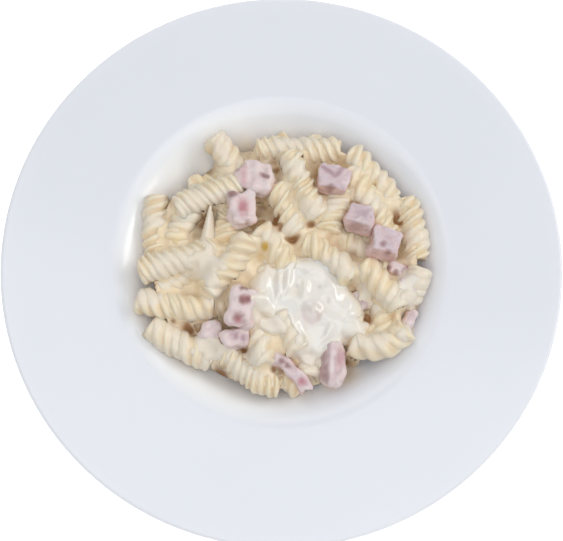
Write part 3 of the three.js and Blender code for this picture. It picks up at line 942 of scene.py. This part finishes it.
# Where pasta shimmers through the pool: place, radius and strength.
SHALLOWS = [
    (-4, -11, 2.6, 0.7), (-1, -12, 2.0, 0.5), (6.5, -19, 2.6, 0.55), (2, -36, 4.0, 0.6), (-5, -29, 3.0, 0.4),
    (11, -42, 3.5, 0.5),
]

# Dark specks: place, radius and strength.
SPECKS = [(-10.3, -7.1, 1.2, 0.9), (7.5, -16.0, 1.0, 0.4), (18.0, -16.5, 1.0, 0.4), (3.5, -2.5, 0.7, 0.4)]

HIDDEN_HAM = (14.3, -28.7)  # a cube that only shows as a pink lump in the pool


def cream_reach(angle):
    """Distance from the pool's middle to its border: a ragged oval with lobes."""
    reach = CREAM_RADIUS + CREAM_OVAL * np.cos(2 * (angle - math.radians(CREAM_HEADING)))
    reach += 0.8 * np.sin(5 * angle + 1) + 0.6 * np.sin(9 * angle + 2.4)
    for heading, width, more in LOBES:
        away = np.sin((angle - math.radians(heading)) / 2) / math.sin(math.radians(width) / 2)
        reach += more * np.exp(-(away**2))
    return reach


def fold_heights(folds):
    """Height that folds add over each cell: a bell curve across each fold, fading at its ends."""
    raised = np.zeros_like(CELL_X)
    fade = np.sin(np.linspace(0, math.pi, 60)) ** 0.5
    for path, height, width in folds:
        near = bell(CELL_X[..., None], CELL_Y[..., None], *points_along(path, 60), width * math.sqrt(2)) * fade
        raised = np.maximum(raised, near.max(-1) * height)
    return raised


def soft_max(first, second, blend):
    """The higher of two surfaces with a rounded join blend millimetres wide."""
    near = np.clip(0.5 + 0.5 * (first - second) / blend, 0, 1)
    return second + (first - second) * near + blend * near * (1 - near)


def smears():
    """How thick the smears are over each cell, negative outside them, and how white."""
    thin = np.full_like(CELL_X, -9.0)
    milk = np.zeros_like(CELL_X)
    ragged = 1 + 0.22 * wavy(CELL_POINTS, 7, SEED + 3)
    for (x, y), (wide, deep), heading, thickness, white in SMEARS:
        east, north = CELL_X - x, CELL_Y - y
        c, s = math.cos(math.radians(heading)), math.sin(math.radians(heading))
        out = np.hypot((east * c + north * s) / wide, (north * c - east * s) / deep) / ragged
        fall = 8 * np.maximum(out - 0.72, 0) ** 1.3 + 0.8 * smooth_step(out, 0.3, 0.9)
        thin = np.maximum(thin, thickness - fall)
        milk = np.maximum(milk, white * smooth_step(out, 1.2, 0.5))
    return thin, milk


def with_strands(top, kept):
    """The cream's top and the cells that it covers, with the drips that hang free added."""
    for start, end, narrow, wide in STRANDS:
        run = np.subtract(end, start)
        east, north = CELL_X - start[0], CELL_Y - start[1]
        along = np.clip((east * run[0] + north * run[1]) / (run[0] ** 2 + run[1] ** 2), 0, 1)
        away = np.hypot(east - along * run[0], north - along * run[1]) / (narrow + (wide - narrow) * along)
        ridge = start[2] + along * run[2] - 1.6 * away**2
        top = np.where(away < 1.4, np.maximum(top, ridge), top)
        kept = kept | (away < 1.4)
    return top, kept


def sheet_between(top, bottom, kept, values):
    """The closed shell between two height maps, over the cells that are kept, with a wall round its border."""
    number = np.arange(CELLS * CELLS).reshape(CELLS, CELLS)
    whole = kept[:-1, :-1] & kept[1:, :-1] & kept[:-1, 1:] & kept[1:, 1:]
    over = np.stack([number[:-1, :-1], number[:-1, 1:], number[1:, 1:], number[1:, :-1]], -1)[whole]
    edges = np.concatenate([over[:, [i, (i + 1) % 4]] for i in range(4)])
    code, mirror = edges @ [number.size, 1], edges @ [1, number.size]
    first, second = edges[~np.isin(code, mirror)].T
    wall = np.stack([second, first, first + number.size, second + number.size], -1)
    quads = np.concatenate([over, over[:, ::-1] + number.size, wall])
    used, index = np.unique(quads, return_inverse=True)
    points = np.concatenate([np.stack([CELL_X, CELL_Y, z], -1).reshape(-1, 3) for z in (top, bottom)])
    values = {name: np.tile(array.ravel(), 2)[used] for name, array in values.items()}
    return points[used], index.reshape(quads.shape), values


def cream_surface(bare):
    """Cream as a sheet over the height map of what it lies on: a domed pool with folds, thin smears round it.

    Outside the pool and the smears the sheet dips under the pasta, and there it is cut away. A second sheet
    underneath closes it.
    """
    ground = blurred(bare, 1.2)
    east, north = CELL_X - CREAM_CENTRE[0], CELL_Y - CREAM_CENTRE[1]
    share = np.hypot(east, north) / cream_reach(np.arctan2(north, east))
    ham_east, ham_north = CELL_X - HIDDEN_HAM[0], CELL_Y - HIDDEN_HAM[1]
    ring = np.hypot(ham_east, ham_north / 1.15)
    peak = np.hypot(ham_east - 0.8, ham_north - 1.5)
    lump = 0.6 * smooth_step(ring, 6.5, 2.5) + 1.3 * np.exp(-((peak / 2.4) ** 1.5))
    relief = 0.4 * wavy(CELL_POINTS, 9, SEED + 2) + 1.25 * fold_heights(FOLDS) - fold_heights(HOLLOWS) + lump
    dome = CREAM_TOP - 1.6 * share**2 - 3.4 * share**7 - 16 * np.maximum(share - 1, 0)
    dome += relief * smooth_step(share, 1.15, 0.9)
    thin, smear_milk = smears()
    level = blurred(closed_gaps(np.maximum(bare, CELL_FLOOR), 4), 2.2)
    pool_film = 0.9 - 9 * np.maximum(share - 1.02, 0) - 2.5 * np.maximum(ground - dome - 0.8, 0)
    film = ground + (level - ground) * smooth_step(thin, 0.2, 1.6) + np.maximum(thin, pool_film)
    kept = (dome > bare - 3) & (share < 1.12) | (np.maximum(thin, pool_film) > -2.2)
    top, kept = with_strands(soft_max(dome, film, 1.6), kept)
    kept &= np.hypot(CELL_X, CELL_Y) < CREAM_LIMIT
    top = np.maximum(top, CELL_FLOOR + 0.5)
    depth = blurred(np.where(share < 1, 4.5, 1.6), 2)
    bottom = np.maximum(top - depth, CELL_FLOOR + 0.35)
    milk = np.maximum(smooth_step(share, 1.15, 0.8), smear_milk)
    for x, y, radius, strength in SHALLOWS:
        milk *= 1 - strength * bell(CELL_X, CELL_Y, x, y, radius)
    blush = (0.1 + 0.6 * smooth_step(ham_north, 4, -2)) * np.exp(-(((ring - 3.8) / 1.8) ** 2))
    blush += 0.45 * np.exp(-((ring / 4.5) ** 2))
    speck = spotted(CELL_X, CELL_Y, SPECKS, 0.4, 1.6)
    return sheet_between(top, bottom, kept, {"milk": milk, "blush": blush, "speck": speck})


def cream_finish():
    """Poured cream: grey-white and glossy in the pool, beige where thin, pink over hidden ham, dark specks."""
    finish = Finish("poured_cream")
    milk = finish.painted("milk")
    wide_patch = finish.between(finish.noise(10, 3), 0.35, 0.7)
    pool = finish.mixed(wide_patch, tint(240, 236, 229), tint(242, 236, 226))
    patch = finish.between(finish.noise(9, 3), 0.35, 0.7)
    thin = finish.mixed(patch, tint(236, 222, 200), tint(238, 226, 210))
    colour = finish.mixed(milk, thin, pool)
    colour = finish.mixed(finish.painted("blush") * 0.6, colour, tint(206, 180, 176))
    colour = finish.mixed(finish.painted("speck") * 0.5, colour, tint(110, 96, 108))
    return finish.surface(
        colour,
        finish.noise(8) * 0.1 + 0.34 - milk * 0.2,
        finish.bump(finish.noise(5), 0.35, 0.7),
        IOR=1.45,
        Subsurface_Weight=0.2,
        Subsurface_Radius=(1.0, 0.85, 0.6),
        Subsurface_Scale=0.0015,
        Coat_Weight=milk**2 * 0.85 + 0.05,
        Coat_Roughness=0.08,
    )


SAUCE_BRIDGE = 6  # half the widest gap that the sauce closes, in cells
SAUCE_DROP = 2.3  # how far it lies under the crests
CREVICE_BRIDGE = 3  # the same for the film that fills grooves and crevices
CREVICE_DROP = 0.8
GAP_DROP = 5.5  # how far it sinks in the gaps that stay deep
SAUCE_REACH = 61.5  # its radius round a place 2 mm nearer to the diner than the plate's middle
SAUCE_REACH_RIGHT = 3.5  # how much further it reaches at the right


def clinging_sauce_surface(bare, under):
    """Sauce that has run between the spirals: the height map with its narrow gaps closed, lowered and smoothed.

    It sinks at the gaps that stay deep, down to the layer underneath. Elsewhere it is cut off inside the pasta.
    """
    closed = np.maximum(bare, CELL_FLOOR)
    wide, narrow = closed_gaps(closed, SAUCE_BRIDGE), closed_gaps(closed, CREVICE_BRIDGE)
    level = blurred(wide, 1.3)
    deep = blurred(gap_depth(CELL_X, CELL_Y) * smooth_step(wide - bare, 1.0, 3.0), 0.8)
    in_gap = deep > 0.25
    drop = SAUCE_DROP + 1.1 * wavy(CELL_POINTS, 16, SEED + 9) + 0.35 * wavy(CELL_POINTS, 6, SEED + 10)
    for x, y, radius in BARE:
        drop = np.maximum(drop, 7 * bell(CELL_X, CELL_Y, x, y, radius))
    drop = np.maximum(drop, GAP_DROP * deep)
    film = blurred(narrow, 0.7) - CREVICE_DROP - 0.3 * wavy(CELL_POINTS, 14, SEED + 12) - 8 * deep
    top = soft_max(film, level - drop, 0.8)
    top = np.where(in_gap, np.maximum(top, under + 0.3), top)
    shows = (top > bare - 0.95) | in_gap & (top > bare - 9)
    reach = SAUCE_REACH + SAUCE_REACH_RIGHT * smooth_step(CELL_X, 35, 55)
    shows &= (np.hypot(CELL_X, CELL_Y + 2) < reach) & (top > CELL_FLOOR + 1)
    kept = spread(shows.astype(float), np.maximum) > 0
    # Painted shade: how far the sauce lies below the closed crests.
    low = smooth_step(level - top, 1.8, 6)
    top = np.maximum(top, CELL_FLOOR + 0.45)
    bottom = np.maximum(top - 1.5, CELL_FLOOR + 0.3)
    values = {"deep": deep, "low": low, "golden": golden_spots(CELL_X, CELL_Y)}
    return sheet_between(top, bottom, kept, values)


def clinging_sauce_finish():
    """Cream sauce coloured by the pasta: beige, wet. Painted shade makes it warmer and darker where it lies low
    below the crests, and brown in the gaps that stay deep.
    """
    finish = Finish("clinging_sauce")
    patch = finish.between(finish.noise(9, 3), 0.35, 0.65)
    colour = finish.mixed(patch, tint(241, 221, 187), tint(243, 227, 201))
    # Painted shade: warmer and darker where the sauce lies low.
    colour = finish.mixed(finish.painted("low") * 0.8, colour, tint(206, 168, 120))
    # Painted shade: brown in the gaps that stay deep.
    colour = finish.mixed(finish.between(finish.painted("deep"), 0.05, 0.75) * 0.95, colour, tint(152, 106, 62))
    colour = finish.mixed(finish.painted("golden"), colour, GOLD)
    return finish.surface(
        colour,
        finish.noise(6) * 0.2 + 0.25,
        finish.bump(finish.noise(4, 3), 0.4),
        IOR=1.42,
        Subsurface_Weight=0.15,
        Subsurface_Radius=(1.0, 0.7, 0.45),
        Subsurface_Scale=0.0012,
        Coat_Weight=0.2,
        Coat_Roughness=0.2,
    )


def in_the_shade(surface, crests):
    """A surface with one value more: 0 at the heap's crests, 1 where it lies deep below them."""
    points, quads, values = surface
    below = crests[cell_of(points)] - points[:, 2]
    return points, quads, {**values, "low": smooth_step(below, 2.5, 9)}


underneath = np.concatenate([lower[0], core[0]])
heap = np.concatenate([shown[0], underneath])
heap_heights = height_map(heap)
crests = blurred(closed_gaps(np.maximum(heap_heights, CELL_FLOOR), SAUCE_BRIDGE), 1.3)

pasta = pasta_finish("cooked_pasta", tint(245, 231, 207), tint(236, 211, 170), tint(241, 230, 213))
make_piece("spirals", in_the_shade(shown, crests), pasta, "pasta", "pasta")
lower_pasta = pasta_finish("pasta_underneath", tint(247, 230, 200), tint(228, 194, 144), tint(244, 230, 206))
make_piece("spirals_underneath", in_the_shade(lower, crests), lower_pasta, "pasta", "pasta")
make_piece("sauce_core", core, sauce_finish(), "pasta", "pasta")
sauce = clinging_sauce_surface(heap_heights, height_map(underneath))
make_piece("clinging_sauce", sauce, clinging_sauce_finish(), "pasta", "pasta")
cream = cream_surface(height_map(np.concatenate([heap, blocks[0]])))
make_piece("poured_cream", cream, cream_finish(), "cream", "cream")


# ---------- floor and light ----------

# Lengths of the floor and the lights are in metres.
FLOOR_HALF = 3
WORLD_COLOUR = (0.93, 0.965, 1, 1)
WORLD_STRENGTH = 0.42
LIGHT_AIM = (0, 0, 0.04)

# Name, place, width and height, watts and colour.
LIGHTS = [
    ("softbox_right", (1.5, 0.42, 1.2), (2.2, 0.5), 10.5, (1, 0.985, 0.96)),
    ("softbox_back", (-0.6, 1.6, 1.6), (1.4, 1.0), 5.0, (1, 1, 1)),
    ("softbox_top", (-0.1, -0.35, 1.25), (1.3, 1.3), 6.6, (1, 1, 1)),
    ("strip_right", (0.95, 0.3, 0.75), (0.7, 0.06), 0.7, (1, 1, 1)),
]


def make_floor():
    mesh = bpy.data.meshes.new("floor")
    corners = [(x * FLOOR_HALF, y * FLOOR_HALF, 0) for x, y in ((-1, -1), (1, -1), (1, 1), (-1, 1))]
    mesh.from_pydata(corners, [], [(0, 1, 2, 3)])
    finish = Finish("floor_white")
    finish.surface((0.9, 0.9, 0.9, 1), 0.8, Emission_Color=(1, 1, 1, 1), Emission_Strength=0.5)
    mesh.materials.append(finish.material)
    floor = bpy.data.objects.new("floor", mesh)
    bpy.context.scene.collection.objects.link(floor)


def make_light(name, at, size, watts, colour):
    data = bpy.data.lights.new(name, "AREA")
    data.shape = "RECTANGLE"
    data.size, data.size_y = size
    data.energy = watts
    data.color = colour
    light = bpy.data.objects.new(name, data)
    light.location = at
    light.rotation_euler = (Vector(LIGHT_AIM) - Vector(at)).to_track_quat("-Z", "Y").to_euler()
    bpy.context.scene.collection.objects.link(light)


def make_world():
    world = bpy.data.worlds.new("studio")
    world.use_nodes = True
    background = world.node_tree.nodes["Background"]
    background.inputs["Color"].default_value = WORLD_COLOUR
    background.inputs["Strength"].default_value = WORLD_STRENGTH
    bpy.context.scene.world = world


make_floor()
make_world()
for light in LIGHTS:
    make_light(*light)
bpy.context.scene.view_settings.view_transform = "Standard"
